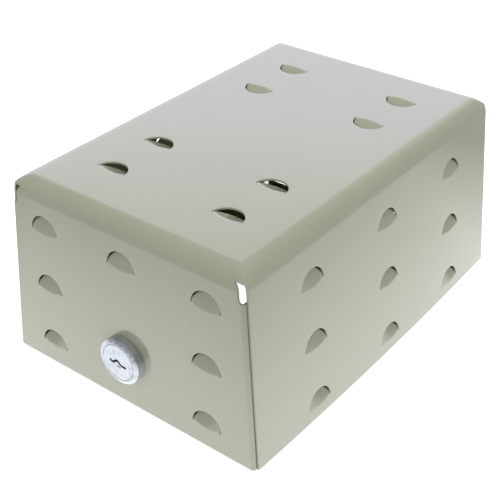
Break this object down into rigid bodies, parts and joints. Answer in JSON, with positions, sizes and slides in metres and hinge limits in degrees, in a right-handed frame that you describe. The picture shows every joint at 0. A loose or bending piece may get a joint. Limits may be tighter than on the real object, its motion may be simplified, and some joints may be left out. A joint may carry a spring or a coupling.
{
  "type": "thermostat lock box",
  "caption": "Wall lock box for a thermostat: a louvred sheet steel cover hooks onto tabs of a back plate, swings down over it and is held shut by a cam lock.",
  "frame": {"origin": "middle of the back plate's corner holes, on the wall", "axes": "+Z out of the wall towards the room, -Y towards the end with the lock (down, as hung on a wall), +X to the right of someone who faces the lock end"},
  "size_m": [0.1426, 0.2015, 0.091],
  "materials": {
    "beige_enamel": "gloss",
    "nickel": "turned, satin",
    "zinc_plate": "plated",
    "spring_wire": "drawn",
    "wafer_brass": "stamped"
  },
  "bodies": {
    "base": {"back_plate": "beige_enamel", "keeper_bracket": "zinc_plate", "keeper_rivets": "zinc_plate"},
    "cover": {"cover_shell": "beige_enamel", "lock_housing": "nickel", "lock_washer": "zinc_plate", "lock_nut": "zinc_plate"},
    "plug": {"lock_plug": "nickel", "wafer_springs": "spring_wire", "retainer_wafer": "wafer_brass", "retainer_spring": "spring_wire", "stop_washer": "zinc_plate", "cam": "zinc_plate", "cam_washer": "zinc_plate", "cam_screw": "zinc_plate"},
    "wafers": {"wafer_1": "wafer_brass", "wafer_2": "wafer_brass", "wafer_3": "wafer_brass", "wafer_4": "wafer_brass", "wafer_5": "wafer_brass"}
  },
  "joints": [
    {"name": "cover_swing", "type": "hinge", "parent": "base", "child": "cover", "pos_m": [0, 0.09716, 0.0065], "axis": [-1, 0, 0], "range_deg": [0, 45]},
    {"name": "plug_turn", "type": "hinge", "parent": "cover", "child": "plug", "pos_m": [0, -0.09707, 0.0251], "axis": [0, 0.9995, -0.0314], "range_deg": [0, 90]},
    {"name": "wafer_slide", "type": "slide", "parent": "plug", "child": "wafers", "axis": [1, 0, 0], "range_m": [0, 0.0006], "stiffness_N_per_m": 300, "springref_m": 0.0006}
  ]
}
